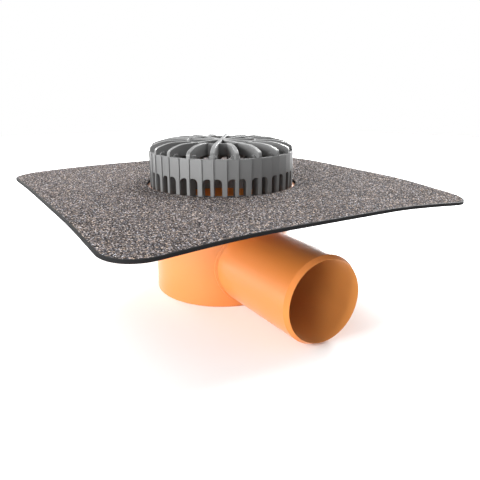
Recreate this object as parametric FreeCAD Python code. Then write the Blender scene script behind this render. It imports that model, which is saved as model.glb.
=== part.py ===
"""Flat roof drain with a horizontal outlet, a bonded bitumen collar and a leaf guard.

Millimetres. The origin is on the drain axis, on the roof deck under the flange.
+Z points up and +X is the direction of the outlet pipe.
"""

import FreeCAD, Part
import math
import os

V = FreeCAD.Vector
ORIGIN = V(0, 0, 0)
UP = V(0, 0, 1)
OUTLET_DIRECTION = V(1, 0, 0)

# Bowl and flange, one moulding
FLANGE_RADIUS = 140.0
FLANGE_THICKNESS = 4.0
BOWL_DEPTH = 149.0
MOUTH_RADIUS = 94.4
BOWL_WALL = 3.8
BOWL_FLOOR = 4.0
BOWL_EDGE_BEVEL = 1.6
FLANGE_ROOT_BEVEL = 2.5

# Outlet pipe
PIPE_RADIUS = 55.0
PIPE_WALL = 3.8
PIPE_AXIS_DEPTH = 93.5
PIPE_END = 239.9
PIPE_CHAMFER_LENGTH = 6.5
PIPE_CHAMFER_DEPTH = 3.5
PIPE_GLUE_GAP = 0.1
PIPE_GLUED_TAPER = 0.8
SADDLE_WIDTH = 2.6
SADDLE_HEIGHT = 1.8
SHOULDER_CLEARANCE = 1.0

# Bitumen collar
COLLAR_SIDE = 500.0
COLLAR_THICKNESS = 4.0
COLLAR_CORNER_RADIUS = 47.0
COLLAR_HOLE_GAP = 4.7
OUTLET_SIDE_DROP = 0.4
CROSSWAYS_DROP = 1.1
DROP_FRONT_OUTLET = 8.7
DROP_BACK_OUTLET = 9.9
DROP_FRONT_FAR = 4.2
DROP_BACK_FAR = 8.0
EDGE_DROP_POWER = 2.0
CORNER_DROP_POWER = 1.2
COLLAR_SPANS = 18
COLLAR_DEGREE = 3
COLLAR_MARGIN = 4.0

# Leaf guard, one moulding
FIN_COUNT = 20
GUARD_RADIUS = 103.3
GUARD_STEP = 1.2
SKIRT_WALL = 6.0
SKIRT_TOP = 54.6
FIN_POST_WIDTH = 5.0
WIDE_POST_WIDTH = 7.0
STEP_INSET_DEGREES = 0.3
SLOT_TOP = 29.5
SLOT_ROUND = 6.0
SLOT_BEVEL_FIN = 1.6
WEB_THICKNESS = 2.5
WEB_TOP_BELOW_SKIRT = 4.0
LEG_DEPTH = 18.8
LEG_WIDTH = 8.4
LEG_LEAD_IN = 3.5
MOUTH_CLEARANCE = 1.0
FINS_PER_LEG = 2
FIN_THICKNESS = 5.2
FIN_TOP = 69.3
FIN_BOTTOM = 53.5
FIN_END_INSET = 0.3
FIN_CROWN_RUN = 31.8
FIN_CROWN_DROP = 7.64
FIN_SHOULDER_RADIUS = 6.0
RING_RADIUS = 50.0
RING_WALL = 2.6
RING_TOP_BELOW_FIN = 0.5
BOSS_LENGTH = 9.0
BOSS_WIDTH = 10.4
BOSS_TOP = 57.8
BOSS_BEVEL = 2.6
BOSS_GAP = 1.0

# Shared places that follow from the sizes above
FIN_PITCH = 360.0 / FIN_COUNT
FLANGE_TOP = FLANGE_THICKNESS
BOWL_BOTTOM = -BOWL_DEPTH
BOWL_RADIUS = MOUTH_RADIUS + BOWL_WALL
PIPE_AXIS_Z = -PIPE_AXIS_DEPTH
PIPE_BORE_RADIUS = PIPE_RADIUS - PIPE_WALL
SADDLE_REACH = BOWL_RADIUS + SADDLE_HEIGHT
TAPER_START = MOUTH_RADIUS / 2
TAPER_END = SADDLE_REACH + SHOULDER_CLEARANCE
SKIRT_INNER_RADIUS = GUARD_RADIUS - SKIRT_WALL
LEG_OUTER_RADIUS = MOUTH_RADIUS - MOUTH_CLEARANCE
WEB_INNER_RADIUS = LEG_OUTER_RADIUS - LEG_WIDTH
COLLAR_HOLE_RADIUS = GUARD_RADIUS + COLLAR_HOLE_GAP

# Amounts by which a cutting or joining solid runs past a face
OVERRUN = 1.0
FUSE_OVERLAP = 0.5

# How close two sizes are when they count as the same
TOLERANCE = 1e-3


def disc(radius, bottom, top):
    """A round solid on the drain axis."""
    return Part.makeCylinder(radius, top - bottom, V(0, 0, bottom))


def ring(outer_radius, inner_radius, bottom, top):
    """A plain ring on the drain axis."""
    return disc(outer_radius, bottom, top).cut(disc(inner_radius, bottom - OVERRUN, top + OVERRUN))


def polar(radius, degrees, height=0.0):
    """A point at an angle round the drain axis."""
    angle = math.radians(degrees)
    return V(radius * math.cos(angle), radius * math.sin(angle), height)


def turned(shape, degrees):
    """A copy of a shape, turned round the drain axis."""
    copy = shape.copy()
    copy.rotate(ORIGIN, UP, degrees)
    return copy


def block(x_range, width, z_range):
    """A box that is centred on the XZ plane."""
    length = x_range[1] - x_range[0]
    height = z_range[1] - z_range[0]
    return Part.makeBox(length, width, height, V(x_range[0], -width / 2, z_range[0]))


def circle_edges(shape, radius, height):
    """The round edges of a shape with a given radius and height on the drain axis."""
    found = []
    for edge in shape.Edges:
        if not isinstance(edge.Curve, Part.Circle):
            continue
        same_radius = abs(edge.Curve.Radius - radius) < TOLERANCE
        if same_radius and edge.Curve.Center.distanceToPoint(V(0, 0, height)) < TOLERANCE:
            found.append(edge)
    return found


def edges_inside(shape, x_above=-math.inf, y_above=-math.inf, y_below=math.inf, z_above=-math.inf):
    """The edges of a shape that lie wholly within the given limits."""
    found = []
    for edge in shape.Edges:
        box = edge.BoundBox
        inside_x = box.XMin > x_above - TOLERANCE
        inside_y = box.YMin > y_above - TOLERANCE and box.YMax < y_below + TOLERANCE
        if inside_x and inside_y and box.ZMin > z_above - TOLERANCE:
            found.append(edge)
    return found


def bowl_shell():
    """The bowl with its flat floor and its flange, as one turned profile."""
    floor = BOWL_BOTTOM + BOWL_FLOOR
    profile = [
        V(0, 0, BOWL_BOTTOM),
        V(BOWL_RADIUS, 0, BOWL_BOTTOM),
        V(BOWL_RADIUS, 0, 0),
        V(FLANGE_RADIUS, 0, 0),
        V(FLANGE_RADIUS, 0, FLANGE_TOP),
        V(MOUTH_RADIUS, 0, FLANGE_TOP),
        V(MOUTH_RADIUS, 0, floor),
        V(0, 0, floor),
        V(0, 0, BOWL_BOTTOM),
    ]
    shell = Part.Face(Part.makePolygon(profile)).revolve(ORIGIN, UP, 360)
    shell = shell.makeChamfer(BOWL_EDGE_BEVEL, circle_edges(shell, BOWL_RADIUS, BOWL_BOTTOM))
    return shell.makeChamfer(FLANGE_ROOT_BEVEL, circle_edges(shell, BOWL_RADIUS, 0))


def bowl_space():
    """The space inside the bowl's wall."""
    return disc(MOUTH_RADIUS, BOWL_BOTTOM - OVERRUN, FLANGE_TOP + OVERRUN)


def along_outlet(profile):
    """A solid turned round the outlet pipe's axis from (distance from the drain axis, radius) pairs."""
    corners = [V(x, 0, radius) for x, radius in profile]
    turned_round = Part.Face(Part.makePolygon(corners + corners[:1])).revolve(ORIGIN, OUTLET_DIRECTION, 360)
    turned_round.translate(V(0, 0, PIPE_AXIS_Z))
    return turned_round


def saddle():
    """The raised seam on the bowl's wall, round the place where the pipe leaves."""
    middle = BOWL_RADIUS / 2
    radius = PIPE_RADIUS + SADDLE_WIDTH
    bar = along_outlet([(middle, 0), (SADDLE_REACH, 0), (SADDLE_REACH, radius), (middle, radius)])
    skin = ring(SADDLE_REACH, MOUTH_RADIUS + BOWL_WALL / 2, BOWL_BOTTOM, 0)
    return bar.common(skin)


def drain_body():
    """Bowl, flange and the seam round the tapered outlet hole."""
    body = bowl_shell().fuse(saddle()).removeSplitter()
    wide = PIPE_RADIUS + PIPE_GLUE_GAP
    narrow = wide - PIPE_GLUED_TAPER
    hole = along_outlet([(TAPER_START, 0), (TAPER_END, 0), (TAPER_END, wide), (TAPER_START, narrow)])
    return body.cut(hole.cut(bowl_space()))


def outlet_pipe():
    """The straight pipe: chamfered at its free end, and narrowed a little where it is glued in."""
    profile = [
        (TAPER_START, PIPE_BORE_RADIUS),
        (PIPE_END, PIPE_BORE_RADIUS),
        (PIPE_END, PIPE_RADIUS - PIPE_CHAMFER_DEPTH),
        (PIPE_END - PIPE_CHAMFER_LENGTH, PIPE_RADIUS),
        (TAPER_END, PIPE_RADIUS),
        (TAPER_START, PIPE_RADIUS - PIPE_GLUED_TAPER),
    ]
    return along_outlet(profile).cut(bowl_space())


def bend(distance, start, power):
    """How far along its droop the collar is: 0 up to start, and 1 at the collar's side."""
    half = COLLAR_SIDE / 2
    share = (abs(distance) - start) / (half - start)
    return max(0.0, share) ** power


def collar_drop(x, y):
    """How far the soft collar hangs below its flat middle, which the flange carries."""
    corner_start = FLANGE_RADIUS / math.sqrt(2)
    if x > 0:
        corner = DROP_BACK_OUTLET if y > 0 else DROP_FRONT_OUTLET
    else:
        corner = DROP_BACK_FAR if y > 0 else DROP_FRONT_FAR
    across = bend(x, corner_start, CORNER_DROP_POWER) * bend(y, corner_start, CORNER_DROP_POWER)
    along_x = OUTLET_SIDE_DROP * bend(x, FLANGE_RADIUS, EDGE_DROP_POWER)
    along_y = CROSSWAYS_DROP * bend(y, FLANGE_RADIUS, EDGE_DROP_POWER)
    return along_x + along_y + corner * across


def collar_knots():
    """Even knots across the collar, and the places of the poles that go with them."""
    reach = COLLAR_SIDE / 2 + COLLAR_MARGIN
    knots = []
    for i in range(COLLAR_SPANS + 1):
        knots.append(reach * (2 * i / COLLAR_SPANS - 1))
    full = [knots[0]] * COLLAR_DEGREE + knots + [knots[-1]] * COLLAR_DEGREE
    places = []
    for i in range(COLLAR_SPANS + COLLAR_DEGREE):
        places.append(sum(full[i + 1 : i + 1 + COLLAR_DEGREE]) / COLLAR_DEGREE)
    return knots, places


def collar_underside():
    """The collar's underside, flat on the flange and drooping towards its corners."""
    knots, places = collar_knots()
    poles = []
    for x in places:
        poles.append([V(x, y, FLANGE_TOP - collar_drop(x, y)) for y in places])
    end = COLLAR_DEGREE + 1
    counts = [end] + [1] * (COLLAR_SPANS - 1) + [end]
    surface = Part.BSplineSurface()
    surface.buildFromPolesMultsKnots(
        poles, counts, counts, knots, knots, False, False, COLLAR_DEGREE, COLLAR_DEGREE
    )
    return surface.toShape()


def rounded_square(side, radius, bottom, top):
    """An upright square bar with rounded corners."""
    bar = block((-side / 2, side / 2), side, (bottom, top))
    upright = [edge for edge in bar.Edges if edge.BoundBox.ZLength > (top - bottom) / 2]
    return bar.makeFillet(radius, upright)


def bitumen_collar():
    """The square bitumen sheet with its round hole, bonded on the flange."""
    sheet = collar_underside().extrude(V(0, 0, COLLAR_THICKNESS))
    lowest = FLANGE_TOP - 2 * max(DROP_BACK_OUTLET, DROP_FRONT_OUTLET, DROP_BACK_FAR, DROP_FRONT_FAR)
    highest = FLANGE_TOP + COLLAR_THICKNESS + OVERRUN
    outline = rounded_square(COLLAR_SIDE, COLLAR_CORNER_RADIUS, lowest, highest)
    return sheet.common(outline).cut(disc(COLLAR_HOLE_RADIUS, lowest, highest))


def half_angle(width):
    """Half the angle that a width takes up at the guard's outside."""
    return math.degrees(math.asin(width / 2 / GUARD_RADIUS))


def step_angles():
    """Where the skirt steps back, at the end of each post, going round the drain axis."""
    angles = []
    for fin in range(FIN_COUNT):
        angles.append(fin * FIN_PITCH + half_angle(FIN_POST_WIDTH) - STEP_INSET_DEGREES)
        angles.append((fin + 0.5) * FIN_PITCH + half_angle(WIDE_POST_WIDTH) - STEP_INSET_DEGREES)
    return angles


def prism(points, top):
    """An upright solid on a closed outline."""
    face = Part.Face(Part.makePolygon(points + points[:1]))
    return face.extrude(V(0, 0, top - points[0].z))


def skirt_blank():
    """The guard's skirt before its slots: flat panels that each step back to the next."""
    outside = []
    for step in step_angles():
        outside.append(polar(GUARD_RADIUS, step, FLANGE_TOP))
        outside.append(polar(GUARD_RADIUS - GUARD_STEP, step, FLANGE_TOP))
    inside = [polar(SKIRT_INNER_RADIUS, step, FLANGE_TOP - OVERRUN) for step in step_angles()]
    return prism(outside, SKIRT_TOP).cut(prism(inside, SKIRT_TOP + OVERRUN))


def slot_cutter():
    """The arched opening to the left of a wide post, seen from outside, about the X axis."""
    fin_edge = half_angle(FIN_POST_WIDTH)
    wide_edge = FIN_PITCH / 2 - half_angle(WIDE_POST_WIDTH)
    width = 2 * GUARD_RADIUS * math.sin(math.radians(wide_edge - fin_edge) / 2)
    inner = SKIRT_INNER_RADIUS - SKIRT_WALL
    bar = block((inner, GUARD_RADIUS + OVERRUN), width, (FLANGE_TOP - OVERRUN, SLOT_TOP))
    bar = bar.makeFillet(SLOT_ROUND, edges_inside(bar, y_above=width / 2, z_above=SLOT_TOP))
    bar = bar.makeChamfer(SLOT_BEVEL_FIN, edges_inside(bar, y_below=-width / 2, z_above=SLOT_TOP))
    return turned(bar, (fin_edge + wide_edge) / 2)


def skirt():
    """The guard's stepped skirt with an arched slot on each side of every post."""
    right = slot_cutter()
    left = right.mirror(ORIGIN, V(0, 1, 0))
    cutters = []
    for fin in range(FIN_COUNT):
        cutters.append(turned(right, fin * FIN_PITCH))
        cutters.append(turned(left, fin * FIN_PITCH))
    return skirt_blank().cut(Part.makeCompound(cutters))


def web():
    """The upright web behind a post, from the flange up to just below the skirt's top."""
    reach = (WEB_INNER_RADIUS, SKIRT_INNER_RADIUS + FUSE_OVERLAP)
    return block(reach, WEB_THICKNESS, (FLANGE_TOP, SKIRT_TOP - WEB_TOP_BELOW_SKIRT))


def leg():
    """The blade below a web that hangs in the bowl's mouth and centres the guard."""
    blade = block((WEB_INNER_RADIUS, LEG_OUTER_RADIUS), WEB_THICKNESS, (-LEG_DEPTH, FLANGE_TOP + FUSE_OVERLAP))
    outer = edges_inside(blade, x_above=LEG_OUTER_RADIUS)
    tip = [edge for edge in outer if edge.BoundBox.ZMax < TOLERANCE - LEG_DEPTH]
    return blade.makeChamfer(LEG_LEAD_IN, tip)


def fin_plate(inner):
    """One crowned fin in the XZ plane, from an inner radius out to the skirt."""
    end = GUARD_RADIUS - GUARD_STEP - FIN_END_INSET
    flat_end = end - FIN_CROWN_RUN
    crown_radius = (FIN_CROWN_RUN**2 + FIN_CROWN_DROP**2) / (2 * FIN_CROWN_DROP)

    def on_crown(radius):
        drop = crown_radius - math.sqrt(crown_radius**2 - (radius - flat_end) ** 2)
        return V(radius, 0, FIN_TOP - drop)

    crown_start = on_crown(flat_end)
    crown_end = on_crown(end)
    step_in = SKIRT_INNER_RADIUS - FUSE_OVERLAP
    corners = [
        V(end, 0, SKIRT_TOP - FUSE_OVERLAP),
        V(step_in, 0, SKIRT_TOP - FUSE_OVERLAP),
        V(step_in, 0, FIN_BOTTOM),
        V(inner, 0, FIN_BOTTOM),
        V(inner, 0, FIN_TOP),
    ]
    edges = [Part.makeLine(crown_end, corners[0])]
    edges += [Part.makeLine(a, b) for a, b in zip(corners, corners[1:])]
    edges.append(Part.makeLine(corners[-1], crown_start))
    edges.append(Part.Arc(crown_start, on_crown((flat_end + end) / 2), crown_end).toShape())
    outline = Part.Wire(Part.__sortEdges__(edges))
    plate = Part.Face(outline).extrude(V(0, FIN_THICKNESS, 0))
    plate.translate(V(0, -FIN_THICKNESS / 2, 0))
    return plate.makeFillet(FIN_SHOULDER_RADIUS, edges_inside(plate, x_above=end, z_above=crown_end.z))


def fin_boss():
    """The short bar with bevelled top edges across a fin's foot, just inside the skirt."""
    outer = SKIRT_INNER_RADIUS - BOSS_GAP
    inner = outer - BOSS_LENGTH
    outline = [
        V(inner, 0, FIN_BOTTOM),
        V(outer, 0, FIN_BOTTOM),
        V(outer, 0, BOSS_TOP - BOSS_BEVEL),
        V(outer - BOSS_BEVEL, 0, BOSS_TOP),
        V(inner + BOSS_BEVEL, 0, BOSS_TOP),
        V(inner, 0, BOSS_TOP - BOSS_BEVEL),
        V(inner, 0, FIN_BOTTOM),
    ]
    bar = Part.Face(Part.makePolygon(outline)).extrude(V(0, BOSS_WIDTH, 0))
    bar.translate(V(0, -BOSS_WIDTH / 2, 0))
    return bar


def leaf_guard():
    """Skirt, webs, legs, fins and inner ring, moulded in one piece."""
    pieces = [skirt()]
    pieces.append(ring(RING_RADIUS, RING_RADIUS - RING_WALL, FIN_BOTTOM, FIN_TOP - RING_TOP_BELOW_FIN))
    through_fin = fin_plate(0.0)
    short_fin = fin_plate(RING_RADIUS - RING_WALL / 2)
    for fin in range(FIN_COUNT):
        angle = fin * FIN_PITCH
        pieces.append(turned(through_fin if fin % 2 == 0 else short_fin, angle))
        pieces.append(turned(fin_boss(), angle))
        pieces.append(turned(web(), angle))
        pieces.append(turned(web(), angle + FIN_PITCH / 2))
        if fin % FINS_PER_LEG == 0:
            pieces.append(turned(leg(), angle + FIN_PITCH / 2))
    return pieces[0].multiFuse(pieces[1:]).removeSplitter()


def single_solid(shape, name):
    """The one solid of a shape, or an error that names the piece."""
    if len(shape.Solids) != 1 or not shape.isValid():
        raise ValueError(name + " isn't one valid solid")
    return shape.Solids[0]


PARTS = {
    "drain_body": drain_body,
    "outlet_pipe": outlet_pipe,
    "bitumen_collar": bitumen_collar,
    "leaf_guard": leaf_guard,
}

os.makedirs("parts", exist_ok=True)
for part_name, make in PARTS.items():
    solid = single_solid(make(), part_name)
    solid.exportStep("parts/" + part_name + ".step")
    print(part_name, "volume", round(solid.Volume / 1000), "cm3")
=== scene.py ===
import math

import bmesh
import bpy
from bpy.props import FloatProperty, FloatVectorProperty, IntProperty, PointerProperty
from mathutils import Euler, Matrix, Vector


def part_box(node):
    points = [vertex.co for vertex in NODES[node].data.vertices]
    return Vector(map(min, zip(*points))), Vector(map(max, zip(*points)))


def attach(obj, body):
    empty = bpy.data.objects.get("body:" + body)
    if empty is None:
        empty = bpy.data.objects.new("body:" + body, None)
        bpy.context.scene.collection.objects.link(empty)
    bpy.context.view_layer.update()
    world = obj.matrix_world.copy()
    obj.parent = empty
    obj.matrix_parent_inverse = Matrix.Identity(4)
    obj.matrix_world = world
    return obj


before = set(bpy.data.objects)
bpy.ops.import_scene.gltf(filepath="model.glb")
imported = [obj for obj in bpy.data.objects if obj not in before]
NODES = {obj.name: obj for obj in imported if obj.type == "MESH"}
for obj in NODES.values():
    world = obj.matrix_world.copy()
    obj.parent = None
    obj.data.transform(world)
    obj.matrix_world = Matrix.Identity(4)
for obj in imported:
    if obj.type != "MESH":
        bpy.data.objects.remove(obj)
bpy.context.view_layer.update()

bl_info = {
    "name": "Flat roof drain",
    "version": (1, 0, 0),
    "blender": (4, 5, 0),
    "location": "3D View > Sidebar > Roof drain",
    "description": "Dresses the roof drain: granulated collar, moulded guard, glossy bowl and pipe",
    "category": "Object",
}

FLOOR_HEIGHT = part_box("drain_body")[0].z
MILLIMETRE = 0.001

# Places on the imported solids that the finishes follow
COLLAR_SIDE = NODES["bitumen_collar"].dimensions.x
COLLAR_CORNER_RADIUS = 47.0 * MILLIMETRE
COLLAR_HOLE_RADIUS = 108.0 * MILLIMETRE
FIN_FOOT_HEIGHT = 55.0 * MILLIMETRE
FLANGE_FOOT_HEIGHT = 0.0
BOWL_INSIDE_RADIUS = 94.5 * MILLIMETRE
PIPE_INSIDE_RADIUS = 51.4 * MILLIMETRE
PIPE_CHAMFER_LENGTH = 6.5 * MILLIMETRE

# The camera: its place in metres, its tilt up from straight down, its turn round the vertical,
# its lens and sensor in millimetres, and the nearest and farthest that it sees in metres
CAMERA_PLACE = (0.66473, -0.37430, 0.15324)
CAMERA_TILT = math.radians(72.84)
CAMERA_AZIMUTH = math.radians(58.585)
CAMERA_LENS = 39.42
CAMERA_SENSOR = 36.0
CAMERA_NEAREST = 0.01
CAMERA_FARTHEST = 100.0

# Each lamp's angle round the drain, from the camera's side to the right, and its angle over
# the floor, both in degrees, then its distance from the drain and its size in metres
LAMPS = {
    "left_lamp": (-58.0, 16.0, 2.4, 1.2),
    "front_lamp": (-24.0, 9.0, 2.4, 0.8),
    "left_back_lamp": (-135.0, 24.0, 2.4, 1.2),
    "right_back_lamp": (135.0, 50.0, 2.4, 1.4),
    "right_lamp": (80.0, 16.0, 2.4, 1.2),
    "sheen_lamp": (154.0, 14.0, 2.6, 1.0),
}
FLOOR_SEGMENTS = 96

# The sleeve's facets, and the share of its wall that its lower outer edge is bevelled by
SLEEVE_SEGMENTS = 120
SLEEVE_LEAD_IN = 0.4

# The granules' greys from the darkest to the palest, and what turns them cool or warm
GRANULE_TONES = [
    (0.0, (0.011, 0.01, 0.01)),
    (0.22, (0.029, 0.026, 0.026)),
    (0.5, (0.078, 0.068, 0.066)),
    (0.74, (0.163, 0.143, 0.135)),
    (0.88, (0.275, 0.234, 0.211)),
    (1.0, (0.49, 0.45, 0.42)),
]
COOL_GRANULE = (0.84, 0.97, 1.18)
WARM_GRANULE = (1.17, 1.01, 0.85)

# How far up a face has to look, from 0 to 1, to be granulated, and to carry loose granules
FELT_TOP_FACING = 0.5
LOOSE_GRANULE_FACING = 0.7

# How sharply a granule ends at the gap round it
GRANULE_EDGE_SHARPNESS = 9.0

# A loose granule's least and greatest stretch along its axes, and its least and greatest tone
LOOSE_GRANULE_STRETCH = [(0.7, 0.6, 0.5), (1.3, 1.2, 0.9)]
LOOSE_GRANULE_TONE = [0.15, 1.0]


class Maths:
    """A number on a shader socket. Python's operators on it add the Math nodes."""

    def __init__(self, paint, socket):
        self.paint = paint
        self.socket = socket

    def _maths(self, operation, *values, clamp=False):
        settings = {"operation": operation, "use_clamp": clamp}
        return self.paint.node("Math", settings, dict(enumerate(values)))

    def __add__(self, other):
        return self._maths("ADD", self, other)

    def __radd__(self, other):
        return self._maths("ADD", other, self)

    def __sub__(self, other):
        return self._maths("SUBTRACT", self, other)

    def __rsub__(self, other):
        return self._maths("SUBTRACT", other, self)

    def __mul__(self, other):
        return self._maths("MULTIPLY", self, other)

    def __rmul__(self, other):
        return self._maths("MULTIPLY", other, self)

    def __gt__(self, other):
        return self._maths("GREATER_THAN", self, other)

    def __lt__(self, other):
        return self._maths("LESS_THAN", self, other)

    def __abs__(self):
        return self._maths("ABSOLUTE", self)

    def at_least(self, least):
        """The number, or the least where that is more."""
        return self._maths("MAXIMUM", self, least)

    def clipped(self):
        """The number kept between 0 and 1."""
        return self._maths("ADD", self, 0.0, clamp=True)


class Paint:
    """A material with one Principled shader, and the means to add nodes to it."""

    def __init__(self, name):
        self.material = bpy.data.materials.new(name)
        self.material.use_nodes = True
        self.tree = self.material.node_tree
        self.shader = self.tree.nodes["Principled BSDF"]

    def node(self, kind, settings=None, inputs=None, output=0):
        """Adds a shader node: its settings first, then the values or links of its sockets."""
        made = self.tree.nodes.new("ShaderNode" + kind)
        for key, value in (settings or {}).items():
            if key == "stops":
                self._ramp(made.color_ramp, value)
            else:
                setattr(made, key, value)
        for key, value in (inputs or {}).items():
            self._fill(made.inputs[key], value)
        return Maths(self, made.outputs[output])

    def _ramp(self, ramp, stops):
        while len(ramp.elements) < len(stops):
            ramp.elements.new(1.0)
        for element, (place, colour) in zip(ramp.elements, stops):
            element.position = place
            element.color = rgba(colour)

    def _fill(self, socket, value):
        if isinstance(value, Maths):
            self.tree.links.new(value.socket, socket)
        else:
            socket.default_value = value

    def finish(self, **sockets):
        """Fills sockets of the Principled shader, whose spaces are written as underscores."""
        for key, value in sockets.items():
            self._fill(self.shader.inputs[key.replace("_", " ")], value)
        return self.material

    def place(self, stretch=(1.0, 1.0, 1.0)):
        """Object coordinates in metres, squeezed or stretched along the axes."""
        place = self.node("TexCoord", output="Object")
        return self.node("Mapping", None, {"Vector": place, "Scale": stretch})

    def axis(self, vector, name):
        """The number that a vector has along one axis."""
        return self.node("SeparateXYZ", None, {0: vector}, output=name)

    def noise(self, place, size, detail=2.0, roughness=0.5):
        """Soft noise whose lumps are about the given size in metres."""
        inputs = {"Vector": place, "Scale": 1 / size, "Detail": detail, "Roughness": roughness}
        return self.node("TexNoise", None, inputs)

    def blend(self, share, first, second, mode="MIX"):
        """Mixes two colours by a share."""
        settings = {"data_type": "RGBA", "blend_type": mode}
        return self.node("Mix", settings, {0: share, 6: first, 7: second}, output=2)

    def shaded(self, colour, brightness):
        """A colour times a brightness that changes over the surface."""
        grey = self.node("CombineColor", None, {0: brightness, 1: brightness, 2: brightness})
        return self.blend(1.0, colour, grey, "MULTIPLY")

    def soft_edges(self, radius):
        """A normal that runs smoothly round sharp edges, as on a moulding with small radii."""
        return self.node("Bevel", {"samples": 6}, {"Radius": radius})

    def bump(self, height, distance, **more):
        """A normal from a height, where a height of 1 stands for the distance in metres."""
        return self.node("Bump", None, {"Height": height, "Distance": distance, **more})


def rgba(colour, brighter=1.0):
    """A colour as the four numbers that a socket takes."""
    return (colour[0] * brighter, colour[1] * brighter, colour[2] * brighter, 1.0)


def between(low, high, share):
    """A number that runs from low to high as the share runs from 0 to 1."""
    return low + (high - low) * share


def granule_colour(paint, tone, hue):
    """A granule's grey by its tone, turned from cool to warm by its hue."""
    grey = paint.node("ValToRGB", {"stops": GRANULE_TONES}, {0: tone})
    tint = paint.blend(hue, rgba(COOL_GRANULE), rgba(WARM_GRANULE))
    return paint.blend(1.0, grey, tint, "MULTIPLY")


def bare_strip(paint, place, width):
    """1 in the strip beside the collar's outline that the granules leave bare, and 0 elsewhere."""
    straight = COLLAR_SIDE / 2 - COLLAR_CORNER_RADIUS
    past_x, past_y = [(abs(paint.axis(place, axis)) - straight).at_least(0.0) for axis in "XY"]
    return past_x * past_x + past_y * past_y > (COLLAR_CORNER_RADIUS - width) ** 2


def bitumen_felt(collar):
    """Granules on the upper side, and black bitumen beside the cut edges, on them and beneath."""
    paint = Paint("bitumen_felt")
    place = paint.place()
    cells = {"Vector": place, "Scale": 1 / collar.grain_size}
    grain = paint.node("TexVoronoi", None, cells, output="Color")
    tone = paint.node("SeparateColor", None, {0: grain}, output="Red")
    hue = paint.node("SeparateColor", None, {0: grain}, output="Green")
    gap = paint.node("TexVoronoi", {"feature": "DISTANCE_TO_EDGE"}, cells)
    blotch = paint.noise(place, 30.0 * MILLIMETRE, detail=3.0, roughness=0.6)
    coarse = paint.noise(place, 2.4 * MILLIMETRE, roughness=0.6)
    sand = paint.noise(place, 1.1 * MILLIMETRE, roughness=0.6)

    # The bitumen between the grains, darkened to a fifth of its colour: painted shade in the gaps
    # between them
    gap_bitumen_with_painted_shade = rgba(collar.bitumen_colour, 0.2)
    granules = paint.shaded(granule_colour(paint, tone, hue), between(0.8, 1.3, blotch))
    on_grain = (gap * GRANULE_EDGE_SHARPNESS).clipped()
    granules = paint.blend(on_grain, gap_bitumen_with_painted_shade, granules)
    bitumen = paint.blend(sand, rgba(collar.bitumen_colour), rgba(collar.bitumen_colour, 1.4))

    facing = paint.axis(paint.node("NewGeometry", output="Normal"), "Z")
    top = (facing > FELT_TOP_FACING) * (1.0 - bare_strip(paint, place, collar.bare_edge))
    height = top * (gap * 2.0 + coarse * 0.6) + sand * 0.25
    return paint.finish(
        Base_Color=paint.blend(top, bitumen, granules),
        Roughness=between(0.7, 0.95, top),
        Specular_IOR_Level=0.05,
        Normal=paint.bump(height, 0.5 * MILLIMETRE),
    )


def loose_granules():
    """The coarser granules that stand out of the felt, each in one tone."""
    paint = Paint("mineral_granules")
    tone = paint.node("Attribute", {"attribute_name": "tone"}, output="Fac")
    hue = (3.0 * paint.noise(paint.place(), 3.0 * MILLIMETRE) - 1.0).clipped()
    speckle = paint.noise(paint.place(), 0.6 * MILLIMETRE)
    return paint.finish(
        Base_Color=paint.shaded(granule_colour(paint, tone, hue), between(0.75, 1.35, speckle)),
        Roughness=between(0.75, 0.95, speckle),
    )


def moulded_grey(guard):
    """Satin polypropylene with a fine moulded grain and slightly uneven colour."""
    paint = Paint("moulded_grey_plastic")
    place = paint.place()
    cloud = paint.noise(place, 35.0 * MILLIMETRE, detail=3.0, roughness=0.55)
    grain = paint.noise(place, 0.7 * MILLIMETRE, roughness=0.6)
    flow = paint.noise(paint.place((1.0, 1.0, 0.12)), 4.0 * MILLIMETRE)
    on_fins = paint.axis(place, "Z") > FIN_FOOT_HEIGHT
    edges = paint.soft_edges(between(guard.edge_radius, guard.fin_edge_radius, on_fins))
    return paint.finish(
        Base_Color=paint.shaded(rgba(guard.plastic_colour), 0.9 + 0.14 * cloud + 0.06 * flow),
        Roughness=guard.roughness + 0.12 * cloud,
        Normal=paint.bump(grain + 0.4 * flow, 0.04 * MILLIMETRE, Normal=edges),
    )


def glossy_orange(outlet):
    """Orange plastic with faint drawing lines: a soft gloss outside, a full one on the flange,
    and duller inside and on the pipe's cut end. Inside the bowl and the bore the colour is
    paler and yellower. That is painted light, since the plastic is the same throughout."""
    paint = Paint("glossy_orange_plastic")
    place = paint.place()
    x, y, z = [paint.axis(place, axis) for axis in "XYZ"]
    lowest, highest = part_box("outlet_pipe")
    above_axis = z - (lowest.z + highest.z) / 2
    in_bore = PIPE_INSIDE_RADIUS**2 > y * y + above_axis * above_axis
    in_bowl = BOWL_INSIDE_RADIUS**2 > x * x + y * y
    inside = (in_bore + in_bowl).clipped()
    dull = (inside + (x > highest.x - PIPE_CHAMFER_LENGTH)).clipped()
    flange = z > FLANGE_FOOT_HEIGHT

    cloud = paint.noise(place, 60.0 * MILLIMETRE, detail=3.0)
    drawn = paint.noise(paint.place((0.02, 1.0, 1.0)), 3.0 * MILLIMETRE)
    grain = paint.noise(place, 1.2 * MILLIMETRE)
    uneven = (cloud * 0.7 + drawn * 0.3).clipped()
    colour = paint.blend(uneven, rgba(outlet.plastic_colour), rgba(outlet.plastic_colour, 1.08))
    return paint.finish(
        # Inside the bowl and the bore the base colour turns paler and yellower: painted light
        Base_Color=paint.blend(inside, colour, rgba(outlet.inside_painted_light_colour)),
        Roughness=outlet.roughness + 0.08 * cloud + 0.04 * drawn + 0.4 * dull,
        Coat_Weight=(between(0.3, 0.4, cloud) * (1.0 - dull) + flange).clipped(),
        Coat_Roughness=0.22,
        Sheen_Weight=0.2,
        Sheen_Roughness=0.3,
        Normal=paint.bump(grain * 0.5 + drawn, 0.03 * MILLIMETRE),
    )


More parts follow.
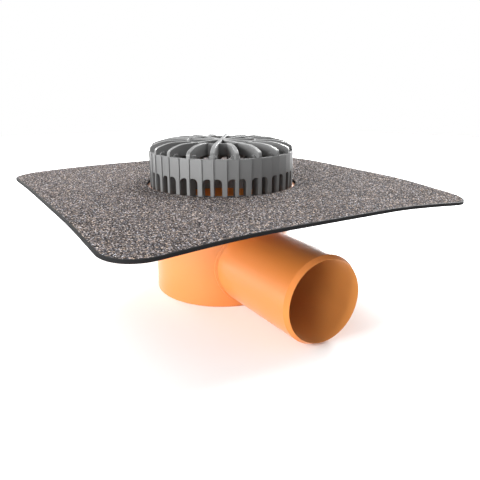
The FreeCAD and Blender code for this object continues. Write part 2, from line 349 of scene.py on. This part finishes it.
def pale_floor(stage):
    """The plain floor, so softly mottled that it reads as one tone."""
    paint = Paint("pale_floor")
    cloud = paint.noise(paint.place(), 0.8)
    colour = paint.blend(cloud, rgba(stage.floor_colour, 0.98), rgba(stage.floor_colour))
    return paint.finish(Base_Color=colour, Roughness=between(0.8, 0.9, cloud))


def link(name, data):
    """A new object in the scene that holds the given mesh, light or camera."""
    made = bpy.data.objects.new(name, data)
    bpy.context.scene.collection.objects.link(made)
    return made


class Tree:
    """A Geometry Nodes tree with named inputs, and the means to add nodes to it."""

    def __init__(self, name):
        self.tree = bpy.data.node_groups.new(name, "GeometryNodeTree")
        self.identifiers = {}
        self.input("Geometry", "NodeSocketGeometry")
        interface = self.tree.interface
        interface.new_socket(name="Geometry", in_out="OUTPUT", socket_type="NodeSocketGeometry")
        self.group_input = self.tree.nodes.new("NodeGroupInput")
        self.group_output = self.tree.nodes.new("NodeGroupOutput")

    def input(self, name, kind):
        """Adds a named input and remembers the identifier that a modifier sets it by."""
        socket = self.tree.interface.new_socket(name=name, in_out="INPUT", socket_type=kind)
        self.identifiers[name] = socket.identifier

    def given(self, name):
        """The socket of a named input inside the tree."""
        return self.group_input.outputs[name]

    def node(self, kind, settings=None, inputs=None):
        """Adds a node: its settings first, then the values or links of its sockets."""
        made = self.tree.nodes.new(kind)
        for key, value in (settings or {}).items():
            setattr(made, key, value)
        for key, value in (inputs or {}).items():
            if isinstance(value, bpy.types.NodeSocket):
                self.tree.links.new(value, made.inputs[key])
            else:
                made.inputs[key].default_value = value
        return made

    def end(self, geometry):
        self.tree.links.new(geometry, self.group_output.inputs[0])

    def apply(self, thing, name, values):
        """Runs the tree on a thing and returns its result as a plain mesh object."""
        modifier = thing.modifiers.new(name, "NODES")
        modifier.node_group = self.tree
        for key, value in values.items():
            modifier[self.identifiers[key]] = value
        evaluated = thing.evaluated_get(bpy.context.evaluated_depsgraph_get())
        mesh = bpy.data.meshes.new_from_object(evaluated)
        mesh.name = name
        thing.modifiers.remove(modifier)
        return link(name, mesh)


def near_edge(grow):
    """Whether a point lies in the bare strip along the collar's outline or round its hole."""

    def number(operation, *values):
        made = grow.node("ShaderNodeMath", {"operation": operation}, dict(enumerate(values)))
        return made.outputs[0]

    def vector(operation, *values):
        made = grow.node("ShaderNodeVectorMath", {"operation": operation}, dict(enumerate(values)))
        return made.outputs["Value" if operation == "LENGTH" else "Vector"]

    place = grow.node("GeometryNodeInputPosition").outputs[0]
    flat = vector("MULTIPLY", place, (1.0, 1.0, 0.0))
    corner, bare = grow.given("Corner radius"), grow.given("Bare edge")
    straight = number("SUBTRACT", number("MULTIPLY", grow.given("Side"), 0.5), corner)
    past = vector("SUBTRACT", vector("ABSOLUTE", flat), straight)
    past = vector("MAXIMUM", past, (0.0, 0.0, 0.0))
    outline = number("GREATER_THAN", vector("LENGTH", past), number("SUBTRACT", corner, bare))
    rim = number("ADD", grow.given("Hole radius"), bare)
    return number("MAXIMUM", outline, number("LESS_THAN", vector("LENGTH", flat), rim))


def granule_tree():
    """Pebbles of random size, turn and tone, scattered over the faces that look up."""
    grow = Tree("Scatter granules")
    lengths = ["Granule size", "Side", "Corner radius", "Hole radius", "Bare edge"]
    for name in ["Per square metre"] + lengths:
        grow.input(name, "NodeSocketFloat")
    grow.input("Seed", "NodeSocketInt")
    grow.input("Material", "NodeSocketMaterial")
    normal = grow.node("GeometryNodeInputNormal").outputs[0]
    facing = grow.node("ShaderNodeSeparateXYZ", None, {0: normal}).outputs["Z"]
    upward = grow.node(
        "FunctionNodeCompare",
        {"operation": "GREATER_THAN"},
        {0: facing, 1: LOOSE_GRANULE_FACING},
    )
    scatter = grow.node(
        "GeometryNodeDistributePointsOnFaces",
        {"distribute_method": "RANDOM"},
        {
            "Mesh": grow.given("Geometry"),
            "Selection": upward.outputs[0],
            "Density": grow.given("Per square metre"),
            "Seed": grow.given("Seed"),
        },
    )
    kept = grow.node(
        "GeometryNodeDeleteGeometry",
        {"domain": "POINT"},
        {"Geometry": scatter.outputs["Points"], "Selection": near_edge(grow)},
    )
    pebble = grow.node("GeometryNodeMeshUVSphere", None, {"Segments": 4, "Rings": 2, "Radius": 0.5})
    turn = grow.node(
        "FunctionNodeRandomValue",
        {"data_type": "FLOAT_VECTOR"},
        {0: (0.0, 0.0, 0.0), 1: (math.tau, math.tau, math.tau), "Seed": grow.given("Seed")},
    )
    least, greatest = LOOSE_GRANULE_STRETCH
    stretch = grow.node(
        "FunctionNodeRandomValue", {"data_type": "FLOAT_VECTOR"}, {0: least, 1: greatest}
    )
    size = grow.node(
        "ShaderNodeVectorMath",
        {"operation": "SCALE"},
        {0: stretch.outputs[0], "Scale": grow.given("Granule size")},
    )
    place = grow.node(
        "GeometryNodeInstanceOnPoints",
        None,
        {
            "Points": kept.outputs["Geometry"],
            "Instance": pebble.outputs["Mesh"],
            "Rotation": turn.outputs[0],
            "Scale": size.outputs[0],
        },
    )
    darkest, palest = LOOSE_GRANULE_TONE
    tone = grow.node("FunctionNodeRandomValue", {"data_type": "FLOAT"}, {2: darkest, 3: palest})
    toned = grow.node(
        "GeometryNodeStoreNamedAttribute",
        {"data_type": "FLOAT", "domain": "INSTANCE"},
        {"Geometry": place.outputs[0], "Name": "tone", "Value": tone.outputs[1]},
    )
    solid = grow.node("GeometryNodeRealizeInstances", None, {0: toned.outputs[0]})
    finish = {0: solid.outputs[0], "Material": grow.given("Material")}
    grow.end(grow.node("GeometryNodeSetMaterial", None, finish).outputs[0])
    return grow


class CollarSettings(bpy.types.PropertyGroup):
    grain_size: FloatProperty(
        name="Grain size",
        description="Width of the fine granules in the felt",
        default=0.0016, min=0.0002, max=0.01, subtype="DISTANCE", unit="LENGTH",
    )
    granule_size: FloatProperty(
        name="Granule size",
        description="Width of the coarser granules that stand out",
        default=0.0019, min=0.0005, max=0.01, subtype="DISTANCE", unit="LENGTH",
    )
    granules_per_square_metre: FloatProperty(
        name="Granules per square metre",
        description="How densely the coarser granules lie",
        default=90000.0, min=0.0, max=110000.0,
    )
    bare_edge: FloatProperty(
        name="Bare edge",
        description="Width of the strip along the cut edges that the granules leave bare",
        default=0.002, min=0.0, max=0.02, subtype="DISTANCE", unit="LENGTH",
    )
    seed: IntProperty(name="Seed", description="Another number gives another scatter", default=7)
    bitumen_colour: FloatVectorProperty(
        name="Bitumen colour",
        description="Colour of the cut edges, the bare strip beside them and the underside",
        default=(0.0095, 0.0095, 0.0098), min=0.0, max=1.0, subtype="COLOR",
    )


class GuardSettings(bpy.types.PropertyGroup):
    plastic_colour: FloatVectorProperty(
        name="Plastic colour",
        description="Colour of the leaf guard",
        default=(0.113, 0.114, 0.114), min=0.0, max=1.0, subtype="COLOR",
    )
    roughness: FloatProperty(
        name="Roughness",
        description="Lower is shinier",
        default=0.4, min=0.0, max=1.0, subtype="FACTOR",
    )
    edge_radius: FloatProperty(
        name="Edge radius",
        description="How round the skirt's edges look",
        default=0.0004, min=0.0, max=0.01, subtype="DISTANCE", unit="LENGTH",
    )
    fin_edge_radius: FloatProperty(
        name="Fin edge radius",
        description="How round the fins' edges look",
        default=0.0012, min=0.0, max=0.01, subtype="DISTANCE", unit="LENGTH",
    )
    sleeve_radius: FloatProperty(
        name="Sleeve radius",
        description="Outside radius of the sleeve that joins the legs",
        default=0.0874, min=0.05, max=0.092, subtype="DISTANCE", unit="LENGTH",
    )
    sleeve_wall: FloatProperty(
        name="Sleeve wall",
        description="Thickness of the sleeve",
        default=0.0028, min=0.001, max=0.005, subtype="DISTANCE", unit="LENGTH",
    )
    sleeve_top: FloatProperty(
        name="Sleeve top",
        description="Height of the sleeve's upper edge over the deck",
        default=0.0044, max=0.01, subtype="DISTANCE", unit="LENGTH",
    )
    sleeve_depth: FloatProperty(
        name="Sleeve depth",
        description="How far the sleeve hangs below the deck",
        default=0.019, min=0.005, max=0.05, subtype="DISTANCE", unit="LENGTH",
    )


class OutletSettings(bpy.types.PropertyGroup):
    plastic_colour: FloatVectorProperty(
        name="Plastic colour",
        description="Colour of the bowl and the outlet pipe",
        default=(0.535, 0.168, 0.032), min=0.0, max=1.0, subtype="COLOR",
    )
    # Painted light: a paler, yellower copy of the plastic colour, laid inside the bowl and the pipe
    inside_painted_light_colour: FloatVectorProperty(
        name="Inside colour",
        description="Colour inside the bowl and the pipe",
        default=(0.55, 0.218, 0.047), min=0.0, max=1.0, subtype="COLOR",
    )
    roughness: FloatProperty(
        name="Roughness",
        description="Lower is shinier",
        default=0.4, min=0.0, max=1.0, subtype="FACTOR",
    )


class StageSettings(bpy.types.PropertyGroup):
    floor_radius: FloatProperty(
        name="Floor radius",
        description="How far the floor reaches",
        default=2.4, min=1.0, max=50.0, subtype="DISTANCE", unit="LENGTH",
    )
    floor_colour: FloatVectorProperty(
        name="Floor colour",
        description="Colour of the plain floor",
        default=(0.9, 0.9, 0.9), min=0.0, max=1.0, subtype="COLOR",
    )
    room_light: FloatProperty(
        name="Room light",
        description="How strongly the white room lights what stands in it",
        default=0.47, min=0.0, max=5.0,
    )
    left_lamp: FloatProperty(
        name="Left lamp",
        description="Power of the low lamp on the left",
        default=89.0, min=0.0, unit="POWER",
    )
    front_lamp: FloatProperty(
        name="Front lamp",
        description="Power of the faint low lamp left of the camera",
        default=22.0, min=0.0, unit="POWER",
    )
    left_back_lamp: FloatProperty(
        name="Left back lamp",
        description="Power of the low lamp on the left, behind",
        default=57.0, min=0.0, unit="POWER",
    )
    right_back_lamp: FloatProperty(
        name="Right back lamp",
        description="Power of the high lamp on the right, behind",
        default=100.0, min=0.0, unit="POWER",
    )
    right_lamp: FloatProperty(
        name="Right lamp",
        description="Power of the faintest lamp, low on the right",
        default=3.0, min=0.0, unit="POWER",
    )
    sheen_lamp: FloatProperty(
        name="Sheen lamp",
        description="Power of the low lamp behind that puts a sheen on the fins and the pipe",
        default=95.0, min=0.0, unit="POWER",
    )


def paint_node(name, material):
    """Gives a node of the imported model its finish."""
    node = NODES[name]
    node.data.materials.clear()
    node.data.materials.append(material)


class DRAIN_OT_dress_collar(bpy.types.Operator):
    """Give the bitumen collar its granulated top and its black edges"""

    bl_idname = "drain.dress_collar"
    bl_label = "Dress collar"

    def execute(self, context):
        paint_node("bitumen_collar", bitumen_felt(context.scene.drain_collar))
        return {"FINISHED"}


class DRAIN_OT_scatter_granules(bpy.types.Operator):
    """Scatter the coarser mineral granules over the collar's upper side"""

    bl_idname = "drain.scatter_granules"
    bl_label = "Scatter granules"

    def execute(self, context):
        collar = context.scene.drain_collar
        ground = link("collar_top", NODES["bitumen_collar"].data.copy())
        values = {
            "Per square metre": collar.granules_per_square_metre,
            "Granule size": collar.granule_size,
            "Side": COLLAR_SIDE,
            "Corner radius": COLLAR_CORNER_RADIUS,
            "Hole radius": COLLAR_HOLE_RADIUS,
            "Bare edge": collar.bare_edge + collar.granule_size / 2,
            "Seed": collar.seed,
            "Material": loose_granules(),
        }
        granules = granule_tree().apply(ground, "mineral_granules", values)
        bpy.data.objects.remove(ground)
        if not granules.data.polygons:
            raise RuntimeError("no granules were scattered")
        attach(granules, "root")
        return {"FINISHED"}


class DRAIN_OT_dress_guard(bpy.types.Operator):
    """Give the leaf guard its grey moulded plastic"""

    bl_idname = "drain.dress_guard"
    bl_label = "Dress leaf guard"

    def execute(self, context):
        paint_node("leaf_guard", moulded_grey(context.scene.drain_guard))
        return {"FINISHED"}


def turned_piece(name, profile, segments):
    """A closed ring: its (radius, height) profile turned round the drain's axis."""
    shape = bmesh.new()
    loops = []
    for step in range(segments):
        angle = math.tau * step / segments
        across, along = math.cos(angle), math.sin(angle)
        loops.append([shape.verts.new((r * across, r * along, z)) for r, z in profile])
    for step, loop in enumerate(loops):
        following = loops[(step + 1) % segments]
        for i in range(len(profile)):
            j = (i + 1) % len(profile)
            shape.faces.new((loop[i], loop[j], following[j], following[i]))
    bmesh.ops.recalc_face_normals(shape, faces=shape.faces)
    mesh = bpy.data.meshes.new(name)
    shape.to_mesh(mesh)
    shape.free()
    return link(name, mesh)


class DRAIN_OT_add_sleeve(bpy.types.Operator):
    """Hang the thin sleeve that joins the leaf guard's legs in the bowl's mouth"""

    bl_idname = "drain.add_sleeve"
    bl_label = "Add guard sleeve"

    def execute(self, context):
        guard = context.scene.drain_guard
        outer, top, bottom = guard.sleeve_radius, guard.sleeve_top, -guard.sleeve_depth
        inner = outer - guard.sleeve_wall
        lead_in = guard.sleeve_wall * SLEEVE_LEAD_IN
        profile = [
            (inner, bottom),
            (outer - lead_in, bottom),
            (outer, bottom + lead_in),
            (outer, top),
            (inner, top),
        ]
        sleeve = turned_piece("guard_sleeve", profile, SLEEVE_SEGMENTS)
        sleeve.data.materials.append(NODES["leaf_guard"].data.materials[0])
        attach(sleeve, "root")
        return {"FINISHED"}


class DRAIN_OT_dress_outlet(bpy.types.Operator):
    """Give the bowl and the outlet pipe their glossy orange plastic"""

    bl_idname = "drain.dress_outlet"
    bl_label = "Dress bowl and pipe"

    def execute(self, context):
        orange = glossy_orange(context.scene.drain_outlet)
        paint_node("drain_body", orange)
        paint_node("outlet_pipe", orange)
        return {"FINISHED"}


def lay_floor(stage):
    """The plain round floor that the drain stands on."""
    shape = bmesh.new()
    bmesh.ops.create_circle(
        shape, cap_ends=True, segments=FLOOR_SEGMENTS, radius=stage.floor_radius
    )
    bmesh.ops.translate(shape, verts=shape.verts, vec=(0.0, 0.0, FLOOR_HEIGHT))
    mesh = bpy.data.meshes.new("floor")
    shape.to_mesh(mesh)
    shape.free()
    mesh.materials.append(pale_floor(stage))
    floor = link("floor", mesh)


def white_room(strength):
    """A white room: the camera and reflections see it in full, and it lights things less."""
    world = bpy.data.worlds.new("white_room")
    world.use_nodes = True
    tree = world.node_tree
    rays = tree.nodes.new("ShaderNodeLightPath")
    level = tree.nodes.new("ShaderNodeMapRange")
    level.inputs["To Min"].default_value = 1.0
    level.inputs["To Max"].default_value = strength
    backdrop = tree.nodes["Background"].inputs
    backdrop["Color"].default_value = (1.0, 1.0, 1.0, 1.0)
    tree.links.new(rays.outputs["Is Diffuse Ray"], level.inputs["Value"])
    tree.links.new(level.outputs["Result"], backdrop["Strength"])
    bpy.context.scene.world = world


def hang_lamp(name, power):
    """A square soft lamp that looks at the drain from its place in LAMPS."""
    around, elevation, distance, size = LAMPS[name]
    turn = CAMERA_AZIMUTH + math.radians(around - 90.0)
    height = math.radians(elevation)
    reach = math.cos(height)
    place = Vector((math.cos(turn) * reach, math.sin(turn) * reach, math.sin(height)))
    light = bpy.data.lights.new(name, "AREA")
    light.size = size
    light.energy = power
    lamp = link(name, light)
    lamp.location = place * distance
    lamp.rotation_euler = place.to_track_quat("Z", "Y").to_euler()


def place_camera(scene):
    """The camera at the photograph's angle."""
    camera = link("camera", bpy.data.cameras.new("camera"))
    camera.data.sensor_width = CAMERA_SENSOR
    camera.data.lens = CAMERA_LENS
    camera.data.clip_start = CAMERA_NEAREST
    camera.data.clip_end = CAMERA_FARTHEST
    camera.location = CAMERA_PLACE
    camera.rotation_euler = Euler((CAMERA_TILT, 0.0, CAMERA_AZIMUTH))
    scene.camera = camera
    scene.view_settings.view_transform = "Standard"


class DRAIN_OT_set_stage(bpy.types.Operator):
    """Lay the pale floor, set the soft lights and place the camera"""

    bl_idname = "drain.set_stage"
    bl_label = "Set stage"

    def execute(self, context):
        stage = context.scene.drain_stage
        lay_floor(stage)
        white_room(stage.room_light)
        for name in LAMPS:
            hang_lamp(name, getattr(stage, name))
        place_camera(context.scene)
        return {"FINISHED"}


class DRAIN_PT_panel(bpy.types.Panel):
    """The steps that dress the drain, with their sizes and colours"""

    bl_idname = "DRAIN_PT_panel"
    bl_label = "Roof drain"
    bl_space_type = "VIEW_3D"
    bl_region_type = "UI"
    bl_category = "Roof drain"

    def draw(self, context):
        for step, group in STEPS:
            box = self.layout.box()
            box.operator(step.bl_idname)
            settings = getattr(context.scene, group)
            for name in settings.bl_rna.properties.keys():
                if name not in ("rna_type", "name"):
                    box.prop(settings, name)


# Each step's operator with the settings that it reads, in the order in which main calls them
STEPS = [
    (DRAIN_OT_dress_collar, "drain_collar"),
    (DRAIN_OT_scatter_granules, "drain_collar"),
    (DRAIN_OT_dress_guard, "drain_guard"),
    (DRAIN_OT_add_sleeve, "drain_guard"),
    (DRAIN_OT_dress_outlet, "drain_outlet"),
    (DRAIN_OT_set_stage, "drain_stage"),
]

# The settings that a scene holds, by the name that it holds them under
GROUPS = {
    "drain_collar": CollarSettings,
    "drain_guard": GuardSettings,
    "drain_outlet": OutletSettings,
    "drain_stage": StageSettings,
}


def register():
    for name, group in GROUPS.items():
        bpy.utils.register_class(group)
        setattr(bpy.types.Scene, name, PointerProperty(type=group))
    for step, _ in STEPS:
        bpy.utils.register_class(step)
    bpy.utils.register_class(DRAIN_PT_panel)


def unregister():
    bpy.utils.unregister_class(DRAIN_PT_panel)
    for step, _ in reversed(STEPS):
        bpy.utils.unregister_class(step)
    for name, group in reversed(GROUPS.items()):
        delattr(bpy.types.Scene, name)
        bpy.utils.unregister_class(group)


def main():
    register()
    for step, _ in STEPS:
        category, name = step.bl_idname.split(".")
        getattr(getattr(bpy.ops, category), name)()


if __name__ == "__main__":
    main()
